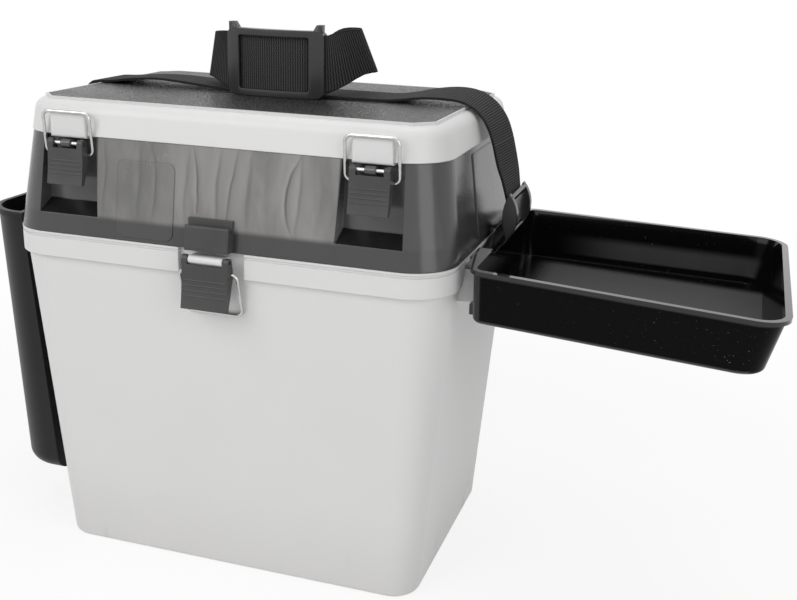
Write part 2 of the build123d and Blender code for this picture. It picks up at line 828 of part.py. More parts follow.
def anchor_loop(side):
    """The sewn loop round a strap bar."""
    outer = depth_rod(loop_radius + strap_thickness / 2, strap_width, side * bar_x, strap_y, bar_z)
    return outer - depth_rod(loop_radius - strap_thickness / 2, strap_width + 1, side * bar_x, strap_y, bar_z)


def on_run(foot, head, z):
    """A point of a straight run from its foot to its head, at a height."""
    return (blend_value(foot[0], head[0], (z - foot[1]) / (head[1] - foot[1])), z)


# The right side's run passes the tray's notch and the buckle and bows out over the lid's edge
sewn_end = (anchor_x, bar_z + 2 * loop_radius)
right_dip = (tray_x - strap_tray_gap - strap_thickness / 2, tray_z + strap_dip_rise)
right_foot = (buckle_x, lower_split + buckle_height / 6)
right_shoulder = (buckle_x - strap_lean, right_foot[1] + strap_lean_rise)
right_crest = (lid_width / 2 + strap_bow_gap, strap_top_z + strap_crest)
right_split = on_run(right_shoulder, right_crest, upper_split)
strap_bow = strap_bow_share * (right_crest[1] - upper_split)
crest_end = right_crest[0] - strap_crest_length
right_lower = [(anchor_x, bar_z), sewn_end, right_dip, (buckle_x, right_dip[1] + strap_step),
               (buckle_x, lower_split)]
right_upper = [(buckle_x, lower_split), right_foot, right_shoulder, right_split]
right_top = [right_split, right_crest, (crest_end, right_crest[1]),
             (crest_end - strap_slope_length, strap_top_z), (keeper_x, strap_top_z)]

# The left side's run is straight, and the strap lies flat from the lid's edge on
left_head = (strap_side, lid_z + lid_height * strap_bend_share)
left_lower = [(anchor_x, bar_z), sewn_end, on_run(sewn_end, left_head, lower_split)]
left_upper = [on_run(sewn_end, left_head, lower_split), on_run(sewn_end, left_head, upper_split)]
left_top = [on_run(sewn_end, left_head, upper_split), left_head, (strap_side, strap_top_z),
            (-keeper_x, strap_top_z)]
standing_z = mat_top + strap_lift + keeper_rail + keeper_play + strap_width / 2
bow_y = keeper_y + keeper_bow


def make_loop():
    """The slack: a loop that stands on edge, with its front layer in the keeper."""
    radius = keeper_bow - loop_gap / 2
    start = -90 - degrees(asin(loop_left / radius))
    sweep_angle = degrees(asin(loop_left / radius)) + degrees(asin(loop_right / radius))
    middle = CenterArc((keeper_x, bow_y), radius, start, sweep_angle)
    foot = Pos(0, 0, standing_z - strap_width / 2)
    outer = extrude(foot * SlotArc(middle, loop_gap + strap_thickness), strap_width, dir=(0, 0, 1))
    return outer - extrude(foot * SlotArc(middle, loop_gap - strap_thickness), strap_width, dir=(0, 0, 1))


def make_keeper():
    """A bowed sleeve with open faces and two horned corners; the webbing runs through it on edge."""
    height = strap_width + 2 * (keeper_play + keeper_rail)
    slot_height = strap_width + 2 * keeper_play
    near = keeper_bow - keeper_thickness / 2
    far = keeper_bow + keeper_thickness / 2

    def sleeve(inner, outer, width, tall, corner):
        tube = Pos(keeper_x, bow_y, standing_z) * (Cylinder(outer, tall) - Cylinder(inner, tall))
        front = extrude(Plane.XZ * RectangleRounded(width, tall, corner), keeper_bow, both=True)
        return tube & Pos(keeper_x, 0, standing_z) * front

    body = sleeve(near, far, keeper_width, height, keeper_corner)
    body -= sleeve(keeper_bow - keeper_slot / 2, keeper_bow + keeper_slot / 2, keeper_width + keeper_corner,
                   slot_height, running_clearance)
    body -= sleeve(near - 1, far + 1, keeper_width - 2 * keeper_bar, slot_height - keeper_rail, keeper_inset)
    horn_y = bow_y - keeper_bow * cos(asin((keeper_width - keeper_horn_width) / 2 / keeper_bow))
    for side in (-1, 1):
        outer_x = side * (keeper_width / 2 - keeper_inset)
        inner_x = outer_x - side * keeper_horn_width
        outline = polygon((outer_x, -keeper_rail / 2), (inner_x, -keeper_rail / 2),
                          ((outer_x + inner_x) / 2, keeper_horn), (outer_x, keeper_horn))
        horn = along_depth(outline, keeper_thickness - keeper_inset, horn_y)
        body += Pos(keeper_x, 0, standing_z + height / 2) * horn
    return body


def make_buckle():
    """A ladder buckle: curved rails, two rods, a ribbed plate in front of the webbing, a bar behind it."""
    tips = [(buckle_x + buckle_tip, lower_split + end * buckle_height / 2) for end in (-1, 1)]
    lens = [ThreePointArc(tips[0], (buckle_x + buckle_front, lower_split), tips[1]),
            ThreePointArc(tips[1], (buckle_x - buckle_back, lower_split), tips[0])]
    inside = strap_width + 2 * keeper_play
    span = inside + buckle_rail
    face_x = buckle_x + strap_thickness / 2 + buckle_clearance
    body = Pos(face_x + buckle_plate / 2, strap_y, lower_split) * Box(buckle_plate, span, buckle_plate_height)
    pitch = buckle_plate_height / buckle_ribs
    for number in range(buckle_ribs):
        level = lower_split + pitch * (number + 0.5) - buckle_plate_height / 2
        rib = Pos(face_x + buckle_plate, strap_y, level)
        body += rib * Box(2 * buckle_rib_proud, span, buckle_rib_height)
    back_x = buckle_x - strap_thickness / 2 - buckle_clearance - buckle_back_thickness / 2
    back_bar = Box(buckle_back_thickness, span, buckle_back_bar)
    body += Pos(back_x, strap_y, lower_split + buckle_back_rise) * back_bar
    for end in (-1, 1):
        rod_z = lower_split + end * buckle_rod_level
        body += depth_rod(buckle_rod, span, buckle_x + buckle_rod_out, strap_y, rod_z)
        body += along_depth(lens, buckle_rail, strap_y + end * (inside + buckle_rail) / 2)
    return body


bail_half = upper_lever_width / 2 + bail_side_gap + wire / 2
middle_bail_half = middle_lever_width / 2 + middle_bail_side_gap + wire / 2
upper_lever = lever(upper_lever_width, upper_lever_drop, upper_mouth, upper_pivot, upper_hole)
upper_bail = bail(bail_half, upper_lever_width / 2 - lever_side, upper_hole, upper_bar)
left = Pos(-niche_x, 0, 0)
right = Pos(niche_x, 0, 0)
upper_rod = latch_rod(upper_lever_width, upper_pivot)

nodes = {
    "lower_container": make_container(),
    "tier_hinge_pins": Compound(hinge_pins(tier_axis)),
    "strap_bars": Compound(strap_bars()),
    "middle_latch_pin": latch_rod(middle_lever_width, middle_pivot),
    "middle_lever": lever(middle_lever_width, middle_lever_drop, middle_mouth, middle_pivot, middle_hole),
    "middle_bail": bail(middle_bail_half, middle_lever_width / 2 - lever_side, middle_hole, middle_bar),
    "upper_tier": make_tier(),
    "lid_hinge_pins": Compound(hinge_pins(lid_axis)),
    "upper_latch_pins": Compound([left * upper_rod, right * upper_rod]),
    "middle_catch": make_catch(),
    "catch_rivets": Compound(catch_rivets()),
    "left_lever": left * upper_lever,
    "right_lever": right * upper_lever,
    "left_bail": left * upper_bail,
    "right_bail": right * upper_bail,
    "lid_shell": make_lid(),
    "lid_lugs": Compound(lid_lugs()),
    "seat_mat": make_mat(),
    "side_tray": make_tray(),
    "side_bin": make_bin(),
    "strap_right_lower": ribbon(1, right_lower, loop_radius) + anchor_loop(1),
    "strap_right_upper": ribbon(1, right_upper, loop_radius),
    "strap_right_top": ribbon(1, right_top, (strap_bow, strap_slope_bend, strap_slope_bend)),
    "strap_left_lower": ribbon(-1, left_lower, loop_radius) + anchor_loop(-1),
    "strap_left_upper": ribbon(-1, left_upper, loop_radius),
    "strap_left_top": ribbon(-1, left_top, (loop_radius, edge_bend)),
    "strap_standing_loop": make_loop(),
    "strap_keeper": make_keeper(),
    "strap_buckle": make_buckle(),
}

os.makedirs("parts", exist_ok=True)
for name, solid in nodes.items():
    export_step(solid, f"parts/{name}.step")
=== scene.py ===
# %% [markdown]
# # An ice fishing box
# The box is a seat, a tackle store and a carrying case in one: a pale tapered container, a smoke-grey
# upper tier, a pale lid with a grained mat, wire latches, a gloss tray and a satin bin hung on its sides,
# and a black webbing strap. The solids come from the CAD frame, so this script gives them their finishes,
# rounds the strap's keeper, and models the soft webbing that CAD holds as plain ribbons. Blender counts in
# metres. Sizes on the object are written in millimetres, and the studio round it in metres.

# %% Load the frame
import math

import bpy
from mathutils import Matrix, Vector


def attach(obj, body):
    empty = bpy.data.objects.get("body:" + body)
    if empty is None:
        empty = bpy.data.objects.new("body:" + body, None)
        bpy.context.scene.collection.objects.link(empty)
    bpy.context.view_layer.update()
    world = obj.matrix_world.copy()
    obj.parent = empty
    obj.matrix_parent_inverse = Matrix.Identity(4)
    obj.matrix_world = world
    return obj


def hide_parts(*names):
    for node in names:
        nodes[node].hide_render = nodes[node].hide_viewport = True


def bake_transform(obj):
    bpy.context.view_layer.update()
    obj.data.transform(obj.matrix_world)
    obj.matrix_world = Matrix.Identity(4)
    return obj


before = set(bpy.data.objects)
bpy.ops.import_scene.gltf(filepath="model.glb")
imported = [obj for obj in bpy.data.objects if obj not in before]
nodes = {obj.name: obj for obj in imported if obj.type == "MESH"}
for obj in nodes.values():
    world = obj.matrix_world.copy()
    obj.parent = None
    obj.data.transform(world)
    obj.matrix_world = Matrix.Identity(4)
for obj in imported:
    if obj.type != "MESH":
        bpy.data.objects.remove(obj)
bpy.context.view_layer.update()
MM = 0.001

# %% [markdown]
# ## The camera
# The photograph was taken from the right of the front and a little above. Its place was found by fitting
# the box's edges, so the camera is set from that fit: a position, three turns and a focal length.

# %% Camera
CAMERA_PLACE = Vector((0.3666, -0.8207, 0.4957))
AZIMUTH, ELEVATION, ROLL = (math.radians(angle) for angle in (17.525, 18.043, 1.572))
SENSOR_WIDTH, FOCAL_LENGTH = 36, 48.84
NEAREST_SEEN = 0.01

back = Vector((math.sin(AZIMUTH) * math.cos(ELEVATION), -math.cos(AZIMUTH) * math.cos(ELEVATION),
               math.sin(ELEVATION)))
sideways = Vector((math.cos(AZIMUTH), math.sin(AZIMUTH), 0))
upright = back.cross(sideways)
right = sideways * math.cos(ROLL) + upright * math.sin(ROLL)
up = upright * math.cos(ROLL) - sideways * math.sin(ROLL)

bpy.ops.object.select_all(action="DESELECT")
bpy.ops.object.camera_add()
camera = bpy.context.object
camera.name = "photo_camera"
camera.matrix_world = Matrix.Translation(CAMERA_PLACE) @ Matrix((right, up, back)).transposed().to_4x4()
camera.data.sensor_width = SENSOR_WIDTH
camera.data.lens = FOCAL_LENGTH
camera.data.clip_start = NEAREST_SEEN
bpy.context.scene.camera = camera
print("camera looks along", [round(value, 3) for value in -back])

# %% [markdown]
# ## Shader maths
# Finishes are easier to read as sums than as wires. A Signal wraps one socket, so that `1 - grain * 0.2`
# adds its own Math nodes. A NodeTree has one method that adds any other node, and a Finish is the tree of
# one material, with the few textures that every surface here needs.

# %% Signals and node trees
class Signal:
    """A socket that can be added to, multiplied and so on."""

    def __init__(self, owner, socket):
        self.owner = owner
        self.socket = socket

    def maths(self, operation, first, second=0.0):
        return self.owner.add("ShaderNodeMath", {"operation": operation}, {0: first, 1: second})

    def __add__(self, other):
        return self.maths("ADD", self, other)

    __radd__ = __add__

    def __sub__(self, other):
        return self.maths("SUBTRACT", self, other)

    def __rsub__(self, other):
        return self.maths("SUBTRACT", other, self)

    def __mul__(self, other):
        return self.maths("MULTIPLY", self, other)

    __rmul__ = __mul__

    def __abs__(self):
        return self.maths("ABSOLUTE", self)

    def wave(self, pitch):
        """0 to 1 and back over each pitch."""
        return self.maths("SINE", self * (2 * math.pi / pitch)) * 0.5 + 0.5

    def either(self, other):
        """The larger of two."""
        return self.maths("MAXIMUM", self, other)


class NodeTree:
    """The nodes of a material or of the world."""

    def __init__(self, tree):
        self.tree = tree

    def add(self, kind, settings, inputs, output=0):
        """A new node with its settings, then its inputs, as the Signal of one output."""
        node = self.tree.nodes.new(kind)
        for key, value in settings.items():
            setattr(node, key, value)
        for key, value in inputs.items():
            self.feed(node.inputs[key], value)
        return Signal(self, node.outputs[output])

    def feed(self, socket, value):
        """Links a Signal to a socket, or sets a plain value on it."""
        if isinstance(value, Signal):
            self.tree.links.new(value.socket, socket)
        else:
            socket.default_value = value


# %% A finish is a material
class Finish(NodeTree):
    """A material: its textures, the sockets that they feed, and the pieces that wear it."""

    def __init__(self, name, **constant):
        self.material = bpy.data.materials.new(name)
        self.material.use_nodes = True
        super().__init__(self.material.node_tree)
        self.shader = self.tree.nodes["Principled BSDF"]
        for socket, value in constant.items():
            self.shader.inputs[socket.replace("_", " ")].default_value = value

    def place(self, scale=(1, 1, 1)):
        """Where a point lies on the object, in metres, with each axis times its scale."""
        where = self.add("ShaderNodeTexCoord", {}, {}, "Object")
        return self.add("ShaderNodeMapping", {}, {"Vector": where, "Scale": scale})

    def axis(self, where, name):
        return self.add("ShaderNodeSeparateXYZ", {}, {0: where}, name)

    def millimetres(self, name):
        """How far along one axis a point lies, in millimetres."""
        return self.axis(self.place((1 / MM, 1 / MM, 1 / MM)), name)

    def noise(self, where, scale, detail=3.0, distortion=0.0):
        return self.add("ShaderNodeTexNoise", {}, {"Vector": where, "Scale": scale, "Detail": detail,
                                                   "Distortion": distortion})

    def cells(self, where, scale):
        """How far inside a cell a point lies."""
        return self.add("ShaderNodeTexVoronoi", {"feature": "DISTANCE_TO_EDGE"},
                        {"Vector": where, "Scale": scale})

    def between(self, signal, low, high, to_low=0.0, to_high=1.0):
        """A soft step from to_low, where the signal is low, to to_high, where it is high."""
        return self.add("ShaderNodeMapRange", {"interpolation_type": "SMOOTHSTEP"}, {
            "Value": signal, "From Min": low, "From Max": high, "To Min": to_low, "To Max": to_high})

    def span(self, signal, start, full, last, end):
        """0 outside start and end, 1 from full to last, and a soft step at each side."""
        return self.between(signal, start, full) * self.between(signal, end, last)

    def mix(self, share, first, second):
        return self.add("ShaderNodeMix", {"data_type": "RGBA"}, {0: share, 6: first, 7: second}, 2)

    def colour(self, value):
        self.feed(self.shader.inputs["Base Color"], value)

    def rough(self, value):
        self.feed(self.shader.inputs["Roughness"], value)

    def polish(self, value):
        self.feed(self.shader.inputs["Coat Weight"], value)

    def relief(self, height, depth, strength, edge=0.0):
        """Relief of a depth, over moulded edges softened to a radius, both in millimetres."""
        inputs = {"Height": height, "Distance": depth * MM, "Strength": strength}
        if edge:
            inputs["Normal"] = self.add("ShaderNodeBevel", {"samples": 4}, {"Radius": edge * MM})
        self.feed(self.shader.inputs["Normal"], self.add("ShaderNodeBump", {}, inputs))

    def wear(self, pieces):
        for piece in pieces:
            piece.data.materials.clear()
            piece.data.materials.append(self.material)
        print(self.material.name, "pieces", len(pieces), "shader nodes", len(self.tree.nodes))


def grey(level, warmth=0.0):
    """A grey colour, warmed or cooled by a small share."""
    return (level * (1 + warmth), level, level * (1 - warmth), 1)


def cad(*names):
    """CAD nodes by their names."""
    return [nodes[name] for name in names]


# %% [markdown]
# ## Pale moulded plastic
# The container and the lid are moulded in one satin off-white plastic. A mould leaves a fine spark grain,
# a faint unevenness of gloss, and edges that are never quite sharp. The walls are a little greyer towards
# the bottom, with scuffs low down. A painted image could hold all this, but noise on the object's own
# coordinates needs no unwrapping and has one scale on every piece. A Bevel node softens the sharp CAD
# edges in the shading.

# %% Container and lid
SCUFF_TOP, GREYER_BELOW = 50, 90
shell = Finish("pale_shell")
spot = shell.place()
cloud = shell.noise(spot, 9)
grain = shell.noise(spot, 2600, 2)
height = shell.millimetres("Z")
drag_marks = shell.noise(shell.place((1, 1, 0.25)), 90, 5)
scuffs = shell.between(drag_marks, 0.60, 0.72) * shell.between(height, SCUFF_TOP, 0)
# Greyer towards the bottom, and greyer still in the scuffs.
low_grey_and_scuffs = shell.between(height, GREYER_BELOW, 0) * 0.25 + scuffs * 0.35
pale = shell.mix(cloud, grey(0.665, 0.006), grey(0.70, 0.004))
shell.colour(shell.mix(low_grey_and_scuffs, pale, grey(0.52, 0.02)))
shell.rough(0.34 + cloud * 0.10 + grain * 0.05 + scuffs * 0.2)
shell.relief(grain, 0.06, 0.5, 0.9)
shell.wear(cad("lower_container", "lid_shell", "lid_lugs"))

# %% [markdown]
# ## Smoke-grey tier
# The tier is clear plastic tinted so dark that only its flat front gives some light back, in soft upright
# folds. Real transparency would be lost in other viewers, so the folds are drawn in the colour, with their
# light and shade painted: broad noise stretched along Z, a few crinkles painted as pale glints, and long
# creases. A crease is a narrow line of painted shade x(z) with a slope and a bow. To its right it falls off
# into soft painted shade, and to its left stands a ridge with a painted highlight. Noise makes it wander,
# and it fades towards its ends.

# %% Tier panel
PANEL_HALF, PANEL_FOOT, PANEL_MIDDLE, PANEL_RISE = 98.5, 293.5, 323.5, 30.0
FRONT_STARTS, FRONT_FULL = -104, -108
smoke = Finish("smoke_tier")
spot = smoke.place()
across, depth, height = (smoke.millimetres(name) for name in "XYZ")
ends = smoke.between(abs(across), PANEL_HALF, PANEL_HALF - 1.5)
front = smoke.between(depth, FRONT_STARTS, FRONT_FULL)
above_foot = smoke.between(height, PANEL_FOOT - 2, PANEL_FOOT + 3)
panel = ends * front * above_foot
rise = (height - PANEL_MIDDLE) * (1 / PANEL_RISE)
print("panel", 2 * PANEL_HALF, "mm wide and", 2 * PANEL_RISE, "mm high")

# %% Creases
# Each has its place, slope, bow and half-width in millimetres, and the darkness of its painted shade.
CREASES = ((-91, 0.6, -1.6, 2.0, 0.34), (-62, 1.0, 0.6, 4.0, 0.34), (-47.7, 0.0, -3.6, 2.4, 0.42),
           (-22, 0.6, 0.4, 3.6, 0.22), (-12.5, -3.2, -2.0, 2.2, 0.46), (3.5, 1.6, 0.0, 3.4, 0.34),
           (14.3, 5.3, 0.0, 2.2, 0.46), (28.5, 1.4, 0.2, 4.0, 0.32), (42, -1.5, 2.0, 5.0, 0.12),
           (57.4, 1.9, 10.0, 2.2, 0.56), (68, 1.2, 0.0, 3.2, 0.30), (86, 2.0, -2.0, 5.0, 0.12))
LINE_SHARE, FALL_SHARE, RIDGE_HIGHLIGHT_SHARE = 0.75, 0.55, 0.30
WANDER, END_FADE = 7.0, 0.8
wander = (smoke.noise(smoke.place((1, 1, 0.6)), 34, 2) - 0.5) * WANDER
bend = rise * rise
fade = 1 - bend * END_FADE
crease_shade = 0.0
# Each crease adds painted shade on its line and to its right, less a painted highlight on its ridge to the
# left.
for centre, slope, bow, half, shade in CREASES:
    away = across + wander - (rise * slope + bend * bow + centre)
    crease_core_shade = smoke.between(abs(away), 0.8 * half, 0.1 * half)
    crease_fall_shade = smoke.span(away, -0.4 * half, 0.0, 0.0, 2.6 * half)
    ridge_highlight = smoke.span(away, -2.4 * half, -0.4 * half, -0.4 * half, 0.0)
    crease_shade = crease_shade + crease_core_shade * (LINE_SHARE * shade) + crease_fall_shade * (FALL_SHARE * shade) - ridge_highlight * (RIDGE_HIGHLIGHT_SHARE * shade)
print("creases", len(CREASES))

# %% [markdown]
# ### Latch niches
# Two niches in the tier's front hold the upper latches. Their backs are painted a paler grey for the light
# they catch, and their sloping floors a painted near-black shadow, the darkest part of the tier. Splitting
# the mesh would give each face its own material, but the CAD meshes stay as they are, so a face is found by
# its place: there the distance from its plane is nearly nothing.

# %% Latch niches
NICHE_START, NICHE_END, NICHE_BACK = 96.8, 148.2, -107.5
NICHE_FRONT, NICHE_FLOOR, NICHE_SLOPE = -123.6, PANEL_FOOT, 0.494
NICHE_EDGE = 0.4
ON_FACE, OFF_BACK, OFF_FLOOR = 0.3, 0.6, 0.7
in_niche = smoke.span(abs(across), NICHE_START - NICHE_EDGE, NICHE_START, NICHE_END - NICHE_EDGE, NICHE_END)
from_back = abs(depth - NICHE_BACK)
niche_back_painted_light = in_niche * smoke.between(from_back, OFF_BACK, ON_FACE) * above_foot
from_floor = abs(height - NICHE_FLOOR - (depth - NICHE_FRONT) * NICHE_SLOPE)
behind_front = smoke.between(depth, NICHE_FRONT, NICHE_FRONT + 0.6)
niche_floor_painted_shadow = in_niche * smoke.between(from_floor, OFF_FLOOR, ON_FACE) * behind_front
print("niche", round(NICHE_END - NICHE_START, 1), "mm wide")

# %% [markdown]
# ### Painted light in the tier
# The front's painted light is a sum: folds, fine upright streaks and pale crinkle glints, less the painted
# shade of the creases, a little dimmer to the left and in a grained patch low on the left. It mixes the
# tint of the deep plastic with a warm grey.

# %% Tier finish
PATCH_LEFT, PATCH_RIGHT, PATCH_TOP, PATCH_EDGE = -80.5, -31.5, 339.5, 0.5
DIMMEST, BRIGHTEST = -90, 30
folds = smoke.noise(smoke.place((1, 1, 0.30)), 34, 4, 0.5)
streaks = smoke.noise(smoke.place((1, 1, 0.12)), 150, 3)
fine = smoke.noise(spot, 1500, 2)
crinkle = abs(smoke.noise(smoke.place((1, 1, 0.45)), 42, 3, 0.8) - 0.5)
# Crinkles are thin pale lines: painted highlights, glints on the folds.
crinkle_glints = smoke.between(crinkle, 0.010, 0.002) * smoke.between(smoke.noise(spot, 38, 2), 0.56, 0.66)
patch = smoke.span(across, PATCH_LEFT, PATCH_LEFT + PATCH_EDGE, PATCH_RIGHT - PATCH_EDGE, PATCH_RIGHT)
patch = patch * smoke.between(height, PATCH_TOP, PATCH_TOP - PATCH_EDGE)
# The panel's painted light: folds and streaks, less painted crease shade, plus painted crinkle glints.
painted_light_and_tone = 0.40 + smoke.between(folds, 0.32, 0.70) * 0.42 + streaks * 0.16
painted_light_and_tone = painted_light_and_tone * smoke.between(across, DIMMEST, BRIGHTEST, 0.84, 1.0)
painted_light_and_tone = painted_light_and_tone * (1 - crease_shade * fade * (0.4 + folds * 1.2)) + crinkle_glints * 0.34
painted_light_and_tone = painted_light_and_tone * (1 - patch * (0.14 + fine * 0.22))
deep_tint = smoke.mix(folds, grey(0.042), grey(0.058))
face_tint = smoke.mix(folds, grey(0.050), grey(0.074))
tint = smoke.mix(above_foot * front, deep_tint, face_tint)
# Painted light on the niche backs, and painted shadow on the niche floors.
tint = smoke.mix(niche_back_painted_light, tint, grey(0.095, -0.02))
tint = smoke.mix(niche_floor_painted_shadow, tint, grey(0.013))
smoke.colour(smoke.mix(painted_light_and_tone * panel, tint, grey(0.275, 0.022)))
dull_patch = patch * front
smoke.rough(0.17 + fine * 0.05 + dull_patch * 0.12)
smoke.relief(fine * (0.6 + dull_patch * 2), 0.04, 0.4, 0.8)
smoke.wear(cad("upper_tier"))

# %% [markdown]
# ## Latch plastic, wire and steel
# Levers and catch are satin black with a fine grain and a few scratches across them. The bails are bright
# plated wire, and the pins plain steel. Its drawn finish is a noise stretched along X, as the hinge and
# latch pins run. Metal has no colour of its own under the shine, so a metal finish is a pale grey with
# Metallic at 1, and the noise changes its tone and its gloss.

# %% Levers and catch
latch = Finish("latch_black", Specular_IOR_Level=0.28)
spot = latch.place()
grain = latch.noise(spot, 2200, 2)
cloud = latch.noise(spot, 40)
scratch = latch.between(latch.noise(latch.place((0.2, 1, 1)), 900, 3), 0.66, 0.74)
latch.colour(latch.mix(cloud * 0.7 + scratch * 0.5, grey(0.042), grey(0.086)))
latch.rough(0.30 + cloud * 0.08 + grain * 0.06)
latch.relief(grain + scratch, 0.06, 0.6, 0.6)
latch.wear(cad("left_lever", "right_lever", "middle_lever", "middle_catch"))

# %% Bails and pins
wire = Finish("plated_wire", Metallic=1.0)
cloud = wire.noise(wire.place(), 300)
wire.colour(wire.mix(cloud, grey(0.44, 0.014), grey(0.60, 0.012)))
wire.rough(0.12 + cloud * 0.12)
wire.wear(cad("left_bail", "right_bail", "middle_bail"))

steel = Finish("drawn_steel", Metallic=1.0)
drawn = steel.noise(steel.place((1, 12, 12)), 400)
steel.colour(steel.mix(drawn, grey(0.42), grey(0.58)))
steel.rough(0.22 + drawn * 0.16)
steel.wear(cad("tier_hinge_pins", "lid_hinge_pins", "upper_latch_pins", "middle_latch_pin", "strap_bars",
               "catch_rivets"))

# %% [markdown]
# ## Mat
# The mat is black sheet with a leather-like grain: pebbles two to three millimetres wide, whose tops are
# rubbed smoother than the valleys. As geometry they would take many thousands of faces, so they are the
# cells of a texture, used as relief. A wide soft edge rounds the sheet's border.

# %% Mat
mat = Finish("grained_mat", Specular_IOR_Level=0.48)
spot = mat.place()
warp = mat.noise(spot, 160)
pebble = mat.between(mat.cells(spot, 400), 0.0, 0.25)
sheen = mat.between(mat.noise(spot, 11, 2), 0.45, 0.65)
mat.colour(mat.mix(pebble, grey(0.003), grey(0.008)))
mat.rough(0.36 - pebble * 0.12 + warp * 0.06 - sheen * 0.06)
mat.relief(pebble * 0.8 + warp * 0.5, 0.8, 0.8, 3.2)
mat.wear(cad("seat_mat"))

# %% [markdown]
# ## Tray
# The tray is gloss black, with a slow ripple that only its reflections show, and hangs with a slight fall
# outwards. Its floor and the lower part of its back wall are painted grey, partly as rubbing from use and
# partly as a painted reflection of the light, and use has left specks of dust. The rim, the lower edge and
# the end near the box are polished, which a clear coat shows. Wear and painted reflection could be painted
# on an image. Here they are found by place, once the height is corrected for the fall, and the distance
# from the middle for the walls' spread and lean.

# %% Tray places
TRAY_START, TRAY_SLOPE = 193.0, math.tan(math.radians(2.4))
TRAY_FLOOR, TRAY_RIM, TRAY_WALL = 240.5, 276.5, 106.2
SPREAD_FROM, SPREAD = 292, 0.066
LEAN_FROM, LEAN = 260, 0.115
gloss = Finish("tray_gloss", Specular_IOR_Level=0.05)
spot = gloss.place()
across, depth, height = (gloss.millimetres(name) for name in "XYZ")
level = height + (across - TRAY_START) * TRAY_SLOPE
wall = abs(depth) - (across - SPREAD_FROM) * SPREAD - (level - LEAN_FROM) * LEAN
print("tray floor falls", round(TRAY_SLOPE * 200, 1), "mm over 200 mm")

# %% Tray wear and painted reflection
# A pair of limits is where the wear and painted reflection end and where they are full, and four are those
# of a span.
FLOOR_HALF, FLOOR_ALONG, WALL_ALONG, NEAR_END = (92, 74), (204, 230), (215, 290, 380, 402), (201, 198)
middle = gloss.between(abs(depth), *FLOOR_HALF) * gloss.between(across, *FLOOR_ALONG)
floor_rub_and_reflection = gloss.between(level, TRAY_FLOOR + 1, TRAY_FLOOR) * middle
inner_wall = gloss.span(wall, TRAY_WALL - 6.2, TRAY_WALL - 2.7, TRAY_WALL - 0.5, TRAY_WALL)
back_wall = inner_wall * gloss.between(depth, 0, 20)
low_wall = gloss.span(level, TRAY_FLOOR + 4, TRAY_FLOOR + 6.5, TRAY_FLOOR + 16.5, TRAY_FLOOR + 24.5)
wall_rub_and_reflection = back_wall * low_wall * gloss.span(across, *WALL_ALONG)
rim = gloss.between(level, TRAY_RIM - 2, TRAY_RIM)
lower_edge = gloss.between(level, TRAY_FLOOR + 1.3, TRAY_FLOOR - 0.3)
lower_edge = lower_edge * gloss.between(wall, TRAY_WALL - 3.2, TRAY_WALL - 1.2)
near_end = gloss.between(across, *NEAR_END)
print("tray rim", TRAY_RIM - TRAY_FLOOR, "mm above its floor")

# %% Tray finish
ripple = gloss.noise(spot, 14)
patches = gloss.between(gloss.noise(spot, 26, 2), 0.45, 0.70)
specks = gloss.between(gloss.noise(spot, 760, 2), 0.712, 0.760) * (0.2 + patches * 0.8)
# Painted reflection and rubbing: the floor and the lower back wall are painted grey.
rub_and_reflection = (floor_rub_and_reflection + wall_rub_and_reflection * 0.7) * (0.75 + ripple * 0.5)
rubbed_and_reflecting = gloss.mix(rub_and_reflection, grey(0.003), grey(0.070))
gloss.colour(gloss.mix(specks * 0.6, rubbed_and_reflecting, grey(0.28)))
gloss.rough(0.10 + ripple * 0.06 + specks * 0.3 + rub_and_reflection * 0.3)
gloss.polish(rim.either(lower_edge).either(near_end))
gloss.relief(ripple, 0.6, 0.25, 1.0)
gloss.wear(cad("side_tray"))

# %% [markdown]
# ## Bin and fittings
# The bin is satin black, with the fine grain of its mould. The strap's buckle and keeper are small gloss
# mouldings, a little paler, whose surface sinks slightly here and there. Both finishes are plain noise,
# because nothing on these pieces follows a place.

# %% Bin
satin = Finish("bin_satin", Specular_IOR_Level=0.25)
spot = satin.place()
grain = satin.noise(spot, 1900, 2)
cloud = satin.noise(spot, 12)
satin.colour(satin.mix(cloud, grey(0.007), grey(0.012)))
satin.rough(0.32 + cloud * 0.08 + grain * 0.05)
satin.relief(grain, 0.06, 0.5, 1.0)
satin.wear(cad("side_bin"))

# %% Buckle
fitting = Finish("fitting_gloss", Specular_IOR_Level=0.4)
spot = fitting.place()
cloud = fitting.noise(spot, 60)
grain = fitting.noise(spot, 2200, 2)
fitting.colour(fitting.mix(cloud, grey(0.026), grey(0.038)))
fitting.rough(0.18 + cloud * 0.10 + grain * 0.04)
fitting.relief(cloud * 0.6 + grain * 0.1, 0.2, 0.3, 1.0)
fitting.wear(cad("strap_buckle"))

# %% [markdown]
# ## The keeper
# The keeper is a bowed moulded sleeve with full round edges, which its CAD solid leaves sharp. A copy of
# the solid is merged, its flat triangles are dissolved into plain faces, and a Bevel modifier rounds every
# sharp edge, so the roundness shows in its outline and not only in its shading.

